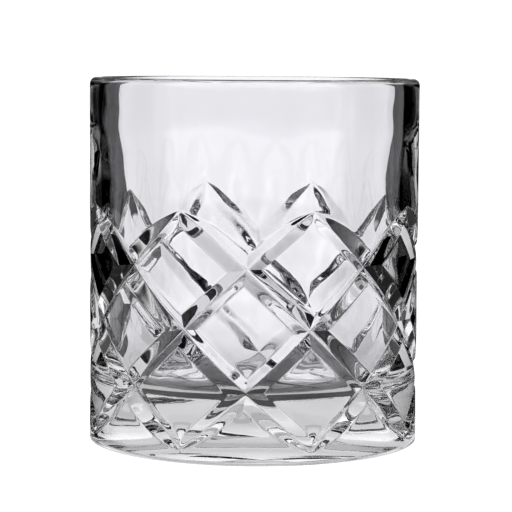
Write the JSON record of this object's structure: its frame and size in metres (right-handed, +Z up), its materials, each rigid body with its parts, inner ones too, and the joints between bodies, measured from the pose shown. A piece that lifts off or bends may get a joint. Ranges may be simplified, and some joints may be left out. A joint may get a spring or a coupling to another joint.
{
  "type": "whiskey tumbler",
  "caption": "Straight, heavy-based clear glass tumbler for short drinks, its lower wall cut with crossing V grooves that leave a lattice of diamonds under a plain drinking band",
  "frame": {"origin": "centre of the base, on the plane of the resting ring", "axes": "+Z up along the cup's axis, out of the mouth; a groove crossing of the second row faces -Y"},
  "size_m": [0.084, 0.084, 0.0925],
  "materials": {
    "glass": "polished clear crystal"
  },
  "bodies": {
    "root": {"tumbler": "glass"}
  },
  "joints": []
}
